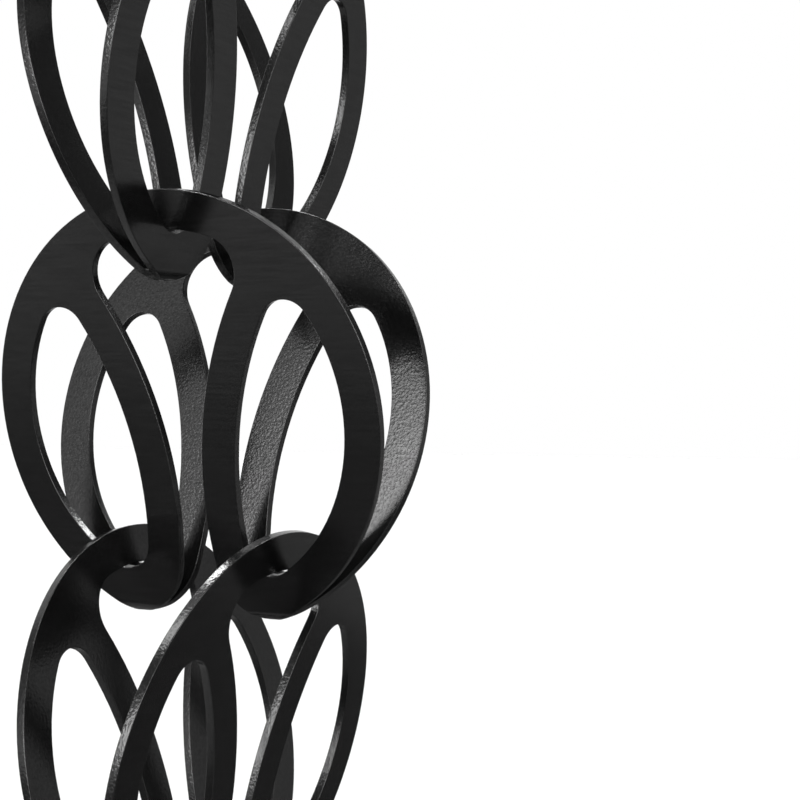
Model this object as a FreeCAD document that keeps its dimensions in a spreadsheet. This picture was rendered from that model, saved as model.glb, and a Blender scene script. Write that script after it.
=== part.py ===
"""Rain chain of folded sheet links that hang in one another, each a quarter turn from the last.

Millimetres. The origin is where the chain is hung, under the top bars of the top link, and +Z is up.
"""

import FreeCAD
import Part
import Sketcher

import math
import os

Vector = FreeCAD.Vector

LINK_COUNT = 9
QUARTER_TURN = 90.0

# Driving sizes, in millimetres and degrees
SIZES = {
    "plate_diameter": 100.0,
    "sheet_thickness": 2.0,
    # Each plate leans outwards by this angle from the fold at its foot, which has this inside radius
    "lean_angle": 12.0,
    "fold_radius": 0.5,
    # The lobes' feet and the fold's outside stop this far above the bottom of the plate's round rim
    "fold_inset": 3.64,
    # Width of the rim, the top bar and the two arms
    "band_width": 8.6,
    # The arms' slot edges are arcs, and stand this far apart where they come closest
    "arm_radius": 91.2,
    "slot_width": 7.8,
    # That place lies this far below the plate's centre
    "arm_drop": 20.3,
    # Rounding of the eyes' ends, of the arch's shoulders and of the lobes' feet
    "eye_rounding": 6.25,
    "shoulder_rounding": 8.0,
    "lobe_rounding": 13.8,
    # Gap between a top bar and the eye that carries it
    "bar_play": 0.5,
    # What the blank has to spare around the plates, cut away by their outline
    "blank_margin": 3.0,
}

# Sizes that follow from the driving ones, as expressions
RIM = "(Sizes.plate_diameter / 2)"
EDGE = f"({RIM} - Sizes.band_width)"
ARM_CENTRE = "(Sizes.slot_width / 2 + Sizes.arm_radius)"
ARM_EYE = "(Sizes.arm_radius - Sizes.band_width)"
FOLD_OUTSIDE = "(Sizes.fold_radius + Sizes.sheet_thickness)"
LOBE_FLOOR = f"({RIM} - Sizes.fold_inset)"
LOBE_CENTRE = f"({LOBE_FLOOR} - Sizes.lobe_rounding)"
FOLD_DEPTH = f"({LOBE_FLOOR} - {FOLD_OUTSIDE})"
FOLD_DROP = f"({FOLD_DEPTH} * cos(Sizes.lean_angle) - Sizes.fold_radius * sin(Sizes.lean_angle))"
HALF_GAP = f"({FOLD_DEPTH} * sin(Sizes.lean_angle) + Sizes.fold_radius * cos(Sizes.lean_angle))"
BLANK_TOP = f"({RIM} + Sizes.blank_margin)"
BAR_HEIGHT = f"({EDGE} * cos(Sizes.lean_angle) - Sizes.sheet_thickness * sin(Sizes.lean_angle))"
EYE_DEPTH = "((front_cut_01.Constraints.eye_end_drop / 1 mm + Sizes.eye_rounding) * cos(Sizes.lean_angle))"
PITCH = f"({BAR_HEIGHT} + {EYE_DEPTH} - Sizes.bar_play)"


def make_sheet(doc):
    """Put the driving sizes in a spreadsheet, one named cell each."""
    sheet = doc.addObject("Spreadsheet::Sheet", "Sizes")
    for row, (name, value) in enumerate(SIZES.items(), start=1):
        sheet.set(f"A{row}", name)
        sheet.set(f"B{row}", str(value))
        sheet.setAlias(f"B{row}", name)
    doc.recompute()
    return sheet


def plane(body, role):
    """The body's own origin plane with this role."""
    return next(feature for feature in body.Origin.OriginFeatures if feature.Role == role)


def meeting_point(centre_a, radius_a, centre_b, radius_b, side):
    """Where two circles meet, to the left (side 1) or right (side -1) of the line from a to b."""
    span = centre_b - centre_a
    along = (radius_a**2 - radius_b**2 + span.Length**2) / (2 * span.Length)
    across = math.sqrt(radius_a**2 - along**2) * side
    ahead = span / span.Length
    return centre_a + ahead * along + Vector(-ahead.y, ahead.x, 0) * across


def on_circle(centre, radius, towards):
    """The point of a circle that lies towards another point."""
    return centre + (towards - centre) * (radius / (towards - centre).Length)


def mirrored(point):
    """The point on the other side of the plate's middle line."""
    return Vector(-point.x, point.y, 0)


def arm_centre(sizes):
    """The centre of the right arm's edges."""
    return Vector(sizes.slot_width / 2 + sizes.arm_radius, -sizes.arm_drop, 0)


def lobe_floor(sizes):
    """How far below a plate's centre its lobes' feet end, level with the fold's outside, along the plate."""
    return sizes.plate_diameter / 2 - sizes.fold_inset


def fold_depth(sizes):
    """How far below its centre a plate's flat face ends and the fold begins, along the plate."""
    return lobe_floor(sizes) - sizes.fold_radius - sizes.sheet_thickness


def angle(centre, point):
    """The direction from a centre to a point, in radians."""
    return math.atan2(point.y - centre.y, point.x - centre.x)


def draw(sketch, corners, pieces):
    """Draw a closed outline and join its pieces.

    Piece i runs from corner i to the next one. It has a centre, or None for a straight line, a turn,
    1 anticlockwise and -1 clockwise, and whether its end is sharp, not tangent to the next piece.
    """
    drawn = []
    for number, (centre, turn, sharp) in enumerate(pieces):
        start = corners[number]
        end = corners[(number + 1) % len(corners)]
        if centre is None:
            drawn.append((sketch.addGeometry(Part.LineSegment(start, end)), 1, 2, sharp))
            continue
        first, last = (start, end) if turn > 0 else (end, start)
        from_angle = angle(centre, first)
        sweep = (angle(centre, last) - from_angle) % (2 * math.pi)
        circle = Part.Circle(centre, Vector(0, 0, 1), (start - centre).Length)
        arc = Part.ArcOfCircle(circle, from_angle, from_angle + sweep)
        ends = (1, 2) if turn > 0 else (2, 1)
        drawn.append((sketch.addGeometry(arc), *ends, sharp))
    for number, (piece, _, end, sharp) in enumerate(drawn):
        following, start = drawn[(number + 1) % len(drawn)][:2]
        kind = "Coincident" if sharp else "Tangent"
        sketch.addConstraint(Sketcher.Constraint(kind, piece, end, following, start))
    return [entry[0] for entry in drawn]


def bind(sketch, constraint, name, expression):
    """Add a constraint with a name and tie it to the spreadsheet."""
    sketch.renameConstraint(sketch.addConstraint(constraint), name)
    sketch.setExpression(f"Constraints.{name}", expression)


def bind_radius(sketch, piece, name, expression):
    radius = sketch.Geometry[piece].Radius
    bind(sketch, Sketcher.Constraint("Radius", piece, radius), name, expression)


def at_origin(sketch, piece):
    """Put an arc's or a circle's centre on the sketch's origin."""
    sketch.addConstraint(Sketcher.Constraint("Coincident", piece, 3, -1, 1))


def draw_section(sketch, sizes):
    """Half of the folded blank's V section: one leaning leg, and the fold as far as the middle."""
    lean = math.radians(sizes.lean_angle)
    inside = sizes.fold_radius
    outside = inside + sizes.sheet_thickness
    depth = fold_depth(sizes)
    drop = depth * math.cos(lean) - inside * math.sin(lean)
    fold = Vector(0, -drop, 0)
    leg = depth + sizes.plate_diameter / 2 + sizes.blank_margin
    outwards = Vector(-math.cos(lean), -math.sin(lean), 0)
    upwards = Vector(-math.sin(lean), math.cos(lean), 0)
    down = Vector(0, -1, 0)
    inner_foot = fold + outwards * inside
    outer_foot = fold + outwards * outside
    corners = [inner_foot, inner_foot + upwards * leg, outer_foot + upwards * leg, outer_foot,
               fold + down * outside, fold + down * inside]
    straight = (None, 0, True)
    into_fold = (None, 0, False)
    pieces = [straight, straight, into_fold, (fold, 1, True), straight, (fold, -1, False)]
    inner, top, outer, fold_outer, middle, fold_inner = draw(sketch, corners, pieces)
    sketch.addConstraint(Sketcher.Constraint("Coincident", fold_inner, 3, fold_outer, 3))
    for piece, point in ((fold_inner, 3), (middle, 1), (middle, 2)):
        sketch.addConstraint(Sketcher.Constraint("PointOnObject", piece, point, -2))
    sketch.addConstraint(Sketcher.Constraint("Parallel", inner, outer))
    sketch.addConstraint(Sketcher.Constraint("Perpendicular", inner, top))
    bind_radius(sketch, fold_inner, "fold_inside", "Sizes.fold_radius")
    bind_radius(sketch, fold_outer, "fold_outside", FOLD_OUTSIDE)
    bind(sketch, Sketcher.Constraint("DistanceY", fold_inner, 3, -1, 1, drop), "fold_drop", FOLD_DROP)
    bind(sketch, Sketcher.Constraint("Distance", inner, leg), "leg_length", f"{FOLD_DEPTH} + {BLANK_TOP}")
    bind(sketch, Sketcher.Constraint("Angle", -2, 1, inner, 1, lean), "lean", "Sizes.lean_angle")


def draw_eye(sketch, sizes, side):
    """One eye: a lens between the rim and an arm, with rounded ends. Side 1 is right, -1 is left."""
    origin = Vector()
    rounding = sizes.eye_rounding
    edge = sizes.plate_diameter / 2 - sizes.band_width
    arm_eye = sizes.arm_radius - sizes.band_width
    arm = arm_centre(sizes)
    high = meeting_point(origin, edge - rounding, arm, arm_eye - rounding, 1)
    low = meeting_point(origin, edge - rounding, arm, arm_eye - rounding, -1)
    corners = [on_circle(origin, edge, low), on_circle(origin, edge, high),
               on_circle(arm, arm_eye, high), on_circle(arm, arm_eye, low)]
    centres = [origin, high, arm, low]
    if side < 0:
        corners = [mirrored(point) for point in corners]
        centres = [mirrored(point) for point in centres]
    pieces = [(centre, side, False) for centre in centres]
    return draw(sketch, corners, pieces)


def draw_outline(sketch, sizes):
    """A plate's outline: rim, two lobes, and the slot that opens into an arch below the top bar."""
    origin = Vector()
    rim = sizes.plate_diameter / 2
    edge = rim - sizes.band_width
    arm = arm_centre(sizes)
    shoulder = meeting_point(origin, edge - sizes.shoulder_rounding,
                             arm, sizes.arm_radius + sizes.shoulder_rounding, 1)
    height = sizes.lobe_rounding - lobe_floor(sizes)
    reach = sizes.arm_radius - sizes.lobe_rounding
    lobe = Vector(arm.x - math.sqrt(reach**2 - (height - arm.y)**2), height, 0)
    rim_end = meeting_point(origin, rim, lobe, sizes.lobe_rounding, -1)
    right = [rim_end, on_circle(arm, sizes.arm_radius, lobe),
             on_circle(arm, sizes.arm_radius, shoulder), on_circle(origin, edge, shoulder)]
    left = [mirrored(point) for point in reversed(right)]
    # From the rim's right end along the lobe's foot, up the slot, over the arch and down again
    pieces = [(lobe, -1, False), (arm, -1, False), (shoulder, 1, False), (origin, 1, False),
              (mirrored(shoulder), 1, False), (mirrored(arm), -1, False), (mirrored(lobe), -1, True),
              (origin, -1, True)]
    return draw(sketch, right + left, pieces)


def constrain_plate(sketch, sizes):
    """Draw the cut round and through one plate, and tie it to the sizes."""
    rim = sizes.plate_diameter / 2
    surround = sketch.addGeometry(Part.Circle(Vector(), Vector(0, 0, 1), 2 * rim))
    at_origin(sketch, surround)
    bind_radius(sketch, surround, "surround", "Sizes.plate_diameter")
    outline = draw_outline(sketch, sizes)
    lobe, slot, shoulder, arch, far_shoulder, far_slot, far_lobe, rim_arc = outline
    at_origin(sketch, rim_arc)
    at_origin(sketch, arch)
    bind_radius(sketch, rim_arc, "rim", RIM)
    bind_radius(sketch, arch, "arch", EDGE)
    for side, arc in ((1, slot), (-1, far_slot)):
        bind_arm(sketch, sizes, arc, side, "slot", "Sizes.arm_radius")
    for name, arc, size in (("lobe", lobe, "lobe"), ("far_lobe", far_lobe, "lobe"),
                            ("shoulder", shoulder, "shoulder"), ("far_shoulder", far_shoulder, "shoulder")):
        bind_radius(sketch, arc, name, f"Sizes.{size}_rounding")
    for name, arc in (("lobe_drop", lobe), ("far_lobe_drop", far_lobe)):
        drop = -sketch.Geometry[arc].Center.y
        bind(sketch, Sketcher.Constraint("DistanceY", arc, 3, -1, 1, drop), name, LOBE_CENTRE)
    for side in (1, -1):
        rim_side, top, arm_side, bottom = draw_eye(sketch, sizes, side)
        end = "right" if side > 0 else "left"
        at_origin(sketch, rim_side)
        bind_radius(sketch, rim_side, f"eye_rim_{end}", EDGE)
        bind_arm(sketch, sizes, arm_side, side, "eye", ARM_EYE)
        bind_radius(sketch, top, f"eye_top_{end}", "Sizes.eye_rounding")
        bind_radius(sketch, bottom, f"eye_bottom_{end}", "Sizes.eye_rounding")
    # How far below the plate's centre the rounding at the eye's lower end has its own centre
    depth = -sketch.Geometry[bottom].Center.y
    place = sketch.addConstraint(Sketcher.Constraint("DistanceY", bottom, 3, -1, 1, depth))
    sketch.setDriving(place, False)
    sketch.renameConstraint(place, "eye_end_drop")


def bind_arm(sketch, sizes, arc, side, name, radius):
    """Tie one edge of an arm to the arm's centre and to its radius."""
    end = "right" if side > 0 else "left"
    first, last = ((-1, 1), (arc, 3)) if side > 0 else ((arc, 3), (-1, 1))
    bind(sketch, Sketcher.Constraint("DistanceX", *first, *last, arm_centre(sizes).x),
         f"{name}_reach_{end}", ARM_CENTRE)
    bind(sketch, Sketcher.Constraint("DistanceY", arc, 3, -1, 1, sizes.arm_drop),
         f"{name}_drop_{end}", "Sizes.arm_drop")
    bind_radius(sketch, arc, f"{name}_radius_{end}", radius)


def make_link(doc, sizes, number):
    """One link: half of a V-shaped blank, cut to the plate's outline, and its mirror image."""
    body = doc.addObject("PartDesign::Body", f"link_{number:02d}")
    body.Label = f"link_{number:02d}"

    section = body.newObject("Sketcher::SketchObject", f"section_{number:02d}")
    section.AttachmentSupport = [(plane(body, "YZ_Plane"), "")]
    section.MapMode = "FlatFace"
    draw_section(section, sizes)
    blank = body.newObject("PartDesign::Pad", f"blank_{number:02d}")
    blank.Profile = section
    blank.SideType = "Symmetric"
    blank.setExpression("Length", f"2 * {BLANK_TOP}")

    # The front plate is cut square to its own face
    front = body.newObject("Sketcher::SketchObject", f"front_cut_{number:02d}")
    front.AttachmentSupport = [(plane(body, "XZ_Plane"), "")]
    front.MapMode = "FlatFace"
    front.AttachmentOffset = FreeCAD.Placement(Vector(), FreeCAD.Rotation(Vector(1, 0, 0), sizes.lean_angle))
    front.setExpression("AttachmentOffset.Rotation.Angle", "Sizes.lean_angle")
    front.setExpression("AttachmentOffset.Base.y", "-Sizes.sheet_thickness * sin(Sizes.lean_angle)")
    front.setExpression("AttachmentOffset.Base.z",
                        f"{HALF_GAP} + Sizes.sheet_thickness * cos(Sizes.lean_angle)")
    constrain_plate(front, sizes)
    doc.recompute()
    cut = body.newObject("PartDesign::Pocket", f"cut_{number:02d}")
    cut.Profile = front
    cut.Type = "ThroughAll"
    doc.recompute()

    # The back plate is the front one's mirror image, joined to it at the fold
    back = body.newObject("PartDesign::Mirrored", f"back_{number:02d}")
    back.TransformMode = "Whole shape"
    back.MirrorPlane = (plane(body, "XZ_Plane"), [""])
    body.Tip = back

    # Every second link is turned a quarter turn
    body.Placement = FreeCAD.Placement(
        Vector(), FreeCAD.Rotation(Vector(0, 0, 1), QUARTER_TURN * ((number - 1) % 2)))
    body.setExpression("Placement.Base.z", f"-{BAR_HEIGHT} - {number - 1} * {PITCH}")
    return body


def check(doc, links):
    """Stop if anything failed to build, before any file is written."""
    for item in doc.Objects:
        if "Invalid" in item.State or "Error" in item.State:
            raise RuntimeError(f"{item.Label} failed: {item.State}")
    for link in links:
        if link.Shape.isNull() or not link.Shape.isValid() or len(link.Shape.Solids) != 1:
            raise RuntimeError(f"{link.Label} is not one valid solid")


def main():
    doc = FreeCAD.newDocument("rain_chain")
    sizes = make_sheet(doc)
    links = [make_link(doc, sizes, number) for number in range(1, LINK_COUNT + 1)]
    doc.recompute()
    check(doc, links)
    os.makedirs("parts", exist_ok=True)
    for link in links:
        link.Shape.exportStep(f"parts/{link.Label}.step")


main()
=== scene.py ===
"""Rain chain of folded sheet links in satin black powder coat, hung over a pale floor in soft light."""

import math

import bpy
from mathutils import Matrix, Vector


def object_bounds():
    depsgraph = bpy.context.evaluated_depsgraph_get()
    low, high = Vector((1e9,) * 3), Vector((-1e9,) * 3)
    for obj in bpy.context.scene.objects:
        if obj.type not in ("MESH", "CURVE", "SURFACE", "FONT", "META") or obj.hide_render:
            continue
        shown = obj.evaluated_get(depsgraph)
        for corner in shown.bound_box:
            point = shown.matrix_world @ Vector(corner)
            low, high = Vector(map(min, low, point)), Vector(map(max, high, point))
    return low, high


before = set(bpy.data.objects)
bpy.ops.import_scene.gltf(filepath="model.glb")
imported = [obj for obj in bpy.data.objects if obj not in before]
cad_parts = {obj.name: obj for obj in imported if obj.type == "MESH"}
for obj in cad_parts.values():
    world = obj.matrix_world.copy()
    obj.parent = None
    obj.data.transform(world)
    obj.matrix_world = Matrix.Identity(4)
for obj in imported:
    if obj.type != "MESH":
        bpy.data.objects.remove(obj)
cad_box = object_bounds()

MM = 0.001
WHITE = "#ffffff"
UP = (0, 0, 1)

# The floor lies below the chain, and the hung flags stand round the middle link
FLOOR_HEIGHT = cad_box[0][2] - 120 * MM
FLOOR_SIDE = 24.0
MIDDLE = Vector((0, 0, -337.8 * MM))


def linear(colour):
    """An sRGB hex colour as linear red, green, blue and alpha."""
    parts = [int(colour[place:place + 2], 16) / 255 for place in (1, 3, 5)]
    return [part / 12.92 if part <= 0.04045 else ((part + 0.055) / 1.055) ** 2.4 for part in parts] + [1]


def add(tree, kind, settings=None, **inputs):
    """Add a node with its settings. An input is a plain value, or a socket that it is linked to."""
    new = tree.nodes.new(kind)
    for name, value in (settings or {}).items():
        setattr(new, name, value)
    for name, value in inputs.items():
        place = int(name[1:]) if name[1:].isdigit() else name.replace("_", " ")
        if isinstance(value, bpy.types.NodeSocket):
            tree.links.new(value, new.inputs[place])
        else:
            new.inputs[place].default_value = value
    return new


def empty_material(name):
    """A new material with no nodes, and its node tree."""
    material = bpy.data.materials.new(name)
    material.use_nodes = True
    material.node_tree.nodes.clear()
    return material, material.node_tree


def powder_coat():
    """Polyester powder coat, sprayed and baked on brushed sheet steel.

    It gives a satin black skin. Inside the fold it dries with an orange peel like fine leather, which
    breaks up the highlights, and the peel is deepest on the cut edges. The outer faces, which lean down,
    come out smooth, and the brush lines of the steel still show faintly on them.
    """
    peel_size = 0.6 * MM
    cloud_size = 25 * MM

    # Real grit and brush lines are finer: these are as coarse as they need to be to show
    grit_size = 0.3 * MM
    brush_width = 0.5 * MM
    brush_length = 8 * MM

    # How far the peel and the grit stand out, and the share of it that each kind of face shows
    peel_height = 0.1 * MM
    edge_peel = 0.55
    inner_peel = 0.27
    outer_peel = 0.08
    grit_height = 0.03 * MM
    grit_share = 0.15

    # How far the peel and the brush lines change the specular level, either way
    plain_shine = 0.5
    peel_change = 0.26
    brush_change = 0.16

    # The plates lean by 12 degrees, so a face's upward tilt tells outer and inner faces from cut edges
    lean = math.sin(math.radians(12))
    near = 0.03

    material, tree = empty_material("satin_black_powder_coat")
    coords = add(tree, "ShaderNodeTexCoord").outputs
    place = coords["Object"]
    tilt = add(tree, "ShaderNodeSeparateXYZ", Vector=coords["Normal"]).outputs["Z"]
    outer = add(tree, "ShaderNodeMath", {"operation": "COMPARE"}, _0=tilt, _1=-lean, _2=near)
    inner = add(tree, "ShaderNodeMath", {"operation": "COMPARE"}, _0=tilt, _1=lean, _2=near)

    peel = add(tree, "ShaderNodeTexNoise", Vector=place, Scale=1 / peel_size, Detail=1.0, Roughness=0.4)
    grit = add(tree, "ShaderNodeTexNoise", Vector=place, Scale=1 / grit_size, Detail=2.0)
    cloud = add(tree, "ShaderNodeTexNoise", Vector=place, Scale=1 / cloud_size, Detail=2.0)
    stroke = add(tree, "ShaderNodeMapping", Vector=place,
                 Scale=(1 / brush_length, 1 / brush_length, 1 / brush_width))
    brush = add(tree, "ShaderNodeTexNoise", Vector=stroke.outputs[0], Scale=1.0, Detail=2.0)

    mottle = add(tree, "ShaderNodeMath", {"operation": "MULTIPLY"}, _0=cloud.outputs[0], _1=brush.outputs[0])
    colour = add(tree, "ShaderNodeMix", {"data_type": "RGBA"}, _0=mottle.outputs[0],
                 _6=linear("#060606"), _7=linear("#161616"))
    gloss = add(tree, "ShaderNodeMapRange", Value=grit.outputs[0], To_Min=0.14, To_Max=0.22)
    peel_shine = add(tree, "ShaderNodeMapRange", Value=peel.outputs[0],
                     To_Min=plain_shine - peel_change, To_Max=plain_shine + peel_change)
    brush_shine = add(tree, "ShaderNodeMapRange", Value=brush.outputs[0],
                      To_Min=plain_shine - brush_change, To_Max=plain_shine + brush_change)
    shine = add(tree, "ShaderNodeMix", {"data_type": "FLOAT"}, _0=outer.outputs[0],
                _2=peel_shine.outputs[0], _3=brush_shine.outputs[0])

    rough = add(tree, "ShaderNodeMapRange", Value=inner.outputs[0], To_Min=edge_peel, To_Max=inner_peel)
    depth = add(tree, "ShaderNodeMix", {"data_type": "FLOAT"}, _0=outer.outputs[0],
                _2=rough.outputs[0], _3=outer_peel)
    coarse = add(tree, "ShaderNodeBump", Height=peel.outputs[0], Strength=depth.outputs[0],
                 Distance=peel_height)
    fine = add(tree, "ShaderNodeBump", Height=grit.outputs[0], Strength=grit_share, Distance=grit_height,
               Normal=coarse.outputs[0])
    skin = add(tree, "ShaderNodeBsdfPrincipled", Base_Color=colour.outputs[2], Roughness=gloss.outputs[0],
               Normal=fine.outputs[0], Metallic=0.0, IOR=1.5, Specular_IOR_Level=shine.outputs[0])
    add(tree, "ShaderNodeOutputMaterial", Surface=skin.outputs[0])
    return material


def seen_directly(tree):
    """1 for rays that come from the camera, or through a reflection or glass, and 0 for others."""
    path = add(tree, "ShaderNodeLightPath").outputs
    both = add(tree, "ShaderNodeMath", {"operation": "MAXIMUM"}, _0=path["Is Camera Ray"],
               _1=path["Is Glossy Ray"])
    return add(tree, "ShaderNodeMath", {"operation": "MAXIMUM"}, _0=both.outputs[0],
               _1=path["Is Transmission Ray"]).outputs[0]


def floor_paint():
    """Matt white emulsion, rolled: pale, and lifted to white where it is seen directly."""
    lift = 0.1
    material, tree = empty_material("matt_white_emulsion")
    paint = add(tree, "ShaderNodeBsdfDiffuse", Color=linear("#e6e6e6"))
    level = add(tree, "ShaderNodeMath", {"operation": "MULTIPLY"}, _0=seen_directly(tree), _1=lift)
    glow = add(tree, "ShaderNodeEmission", Color=linear(WHITE), Strength=level.outputs[0])
    both = add(tree, "ShaderNodeAddShader", _0=paint.outputs[0], _1=glow.outputs[0])
    add(tree, "ShaderNodeOutputMaterial", Surface=both.outputs[0])
    return material


def make_world():
    """White where it is seen directly, and a dim even fill for everything else."""
    fill = 0.15
    world = bpy.data.worlds.new("studio")
    bpy.context.scene.world = world
    world.use_nodes = True
    tree = world.node_tree
    tree.nodes.clear()
    level = add(tree, "ShaderNodeMapRange", Value=seen_directly(tree), To_Min=fill, To_Max=1.0)
    sky = add(tree, "ShaderNodeBackground", Color=linear(WHITE), Strength=level.outputs[0])
    add(tree, "ShaderNodeOutputWorld", Surface=sky.outputs[0])


def flat_sheet(name, centre, facing, width, height, material):
    """A flat piece of the studio: a sheet that faces a direction and is no part of the object."""
    corners = [(x * width / 2, y * height / 2, 0) for x, y in ((-1, -1), (1, -1), (1, 1), (-1, 1))]
    mesh = bpy.data.meshes.new(name)
    mesh.from_pydata(corners, [], [(0, 1, 2, 3)])
    mesh.materials.append(material)
    sheet = bpy.data.objects.new(name, mesh)
    sheet.location = centre
    sheet.rotation_euler = Vector(facing).to_track_quat("Z", "Y").to_euler()
    bpy.context.scene.collection.objects.link(sheet)
    return sheet


def flag(name, centre, facing, width, height, brightness):
    """A studio flag that only reflections see, this many times as bright as white."""
    material, tree = empty_material(name)
    felt = add(tree, "ShaderNodeEmission", Color=linear(WHITE), Strength=brightness)
    add(tree, "ShaderNodeOutputMaterial", Surface=felt.outputs[0])
    sheet = flat_sheet(name, centre, facing, width, height, material)
    sheet.visible_camera = False
    sheet.visible_diffuse = False
    sheet.visible_transmission = False
    sheet.visible_shadow = False


def floor_flag(name, x, y, width, depth, brightness, gap=5 * MM):
    """A flag that lies just over the floor."""
    flag(name, (x, y, FLOOR_HEIGHT + gap), UP, width, depth, brightness)


def towards(turn, rise):
    """The direction that is turned this many degrees to the right of the rear, and this far up."""
    turn = math.radians(turn)
    rise = math.radians(rise)
    return Vector((math.sin(turn) * math.cos(rise), math.cos(turn) * math.cos(rise), math.sin(rise)))


def hung_flag(name, turn, rise, distance, width, height, brightness):
    """A flag that hangs this far from the middle link, and faces it."""
    away = towards(turn, rise)
    flag(name, MIDDLE + away * distance, -away, width, height, brightness)


def soft_light(name, turn, rise, spread, brightness):
    """A round lamp far off, as wide as this angle in degrees, and this many times as bright as white."""
    lamp = bpy.data.lights.new(name, "SUN")
    lamp.angle = math.radians(spread)
    lamp.energy = brightness * math.pi * math.sin(lamp.angle / 2) ** 2
    holder = bpy.data.objects.new(name, lamp)
    holder.rotation_euler = towards(turn, rise).to_track_quat("Z", "Y").to_euler()
    bpy.context.scene.collection.objects.link(holder)


def make_camera():
    """Level with the middle link, a little to its right, with a short telephoto lens."""
    place = (205.09 * MM, -299.51 * MM, -334.51 * MM)
    facing = Vector((-0.4626, 0.8866, 0))
    camera = bpy.data.cameras.new("camera")
    camera.sensor_width = 36.0
    camera.lens = 71.54
    camera.clip_start = 10 * MM
    holder = bpy.data.objects.new("camera", camera)
    holder.location = place
    holder.rotation_euler = facing.to_track_quat("-Z", "Y").to_euler()
    bpy.context.scene.collection.objects.link(holder)
    bpy.context.scene.camera = holder


def dress_link(node, material):
    """The paint, and the small rounding that it gives to the sheet's cut edges."""
    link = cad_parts[node]
    for slot in link.material_slots:
        slot.material = material
    weld = link.modifiers.new("joined_faces", "WELD")
    weld.merge_threshold = 0.002 * MM
    rounding = link.modifiers.new("painted_edges", "BEVEL")
    rounding.width = 0.2 * MM
    rounding.segments = 3
    rounding.limit_method = "ANGLE"
    rounding.angle_limit = math.radians(45)
    rounding.use_clamp_overlap = False
    shading = link.modifiers.new("even_faces", "WEIGHTED_NORMAL")
    shading.weight = 100


# The chain
coat = powder_coat()
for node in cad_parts:
    dress_link(node, coat)

# The studio, with the flags that the paint mirrors
flat_sheet("floor", (0, 0, FLOOR_HEIGHT), UP, FLOOR_SIDE, FLOOR_SIDE, floor_paint())
make_world()
floor_flag("near_floor_flag", x=-0.3, y=-0.75, width=3.0, depth=0.7, brightness=0.16)
floor_flag("front_floor_flag", x=-0.3, y=-1.75, width=3.6, depth=1.3, brightness=0.44)
floor_flag("rear_floor_flag", x=0.4, y=1.1, width=2.6, depth=1.5, brightness=0.09)
floor_flag("under_flag", x=0, y=0, width=4.0, depth=4.0, brightness=0.42, gap=4 * MM)
hung_flag("rear_flag", turn=20, rise=5, distance=1.2, width=2.2, height=1.3, brightness=0.28)
hung_flag("high_rear_flag", turn=31, rise=24, distance=1.15, width=0.8, height=0.44, brightness=0.13)
hung_flag("right_rear_flag", turn=41, rise=1, distance=1.15, width=0.3, height=0.42, brightness=0.43)
hung_flag("rear_left_flag", turn=-6, rise=19, distance=1.1, width=0.48, height=0.2, brightness=0.75)
hung_flag("left_flag", turn=-116, rise=18, distance=1.2, width=0.66, height=0.8, brightness=0.4)
hung_flag("front_flag", turn=-145, rise=38, distance=1.2, width=1.2, height=0.46, brightness=0.3)

# The lamps
soft_light("window_light", turn=-160, rise=11, spread=26, brightness=9)
soft_light("ceiling_light", turn=-62, rise=67, spread=12, brightness=44)
soft_light("front_ceiling_light", turn=-138, rise=58, spread=18, brightness=7)
soft_light("rear_light", turn=28, rise=48, spread=9, brightness=34)
soft_light("right_light", turn=88, rise=18, spread=20, brightness=6)
soft_light("camera_light", turn=144, rise=11, spread=26, brightness=7.5)
soft_light("high_right_light", turn=76, rise=52, spread=16, brightness=6)

# The picture
make_camera()
bpy.context.scene.view_settings.view_transform = "Standard"
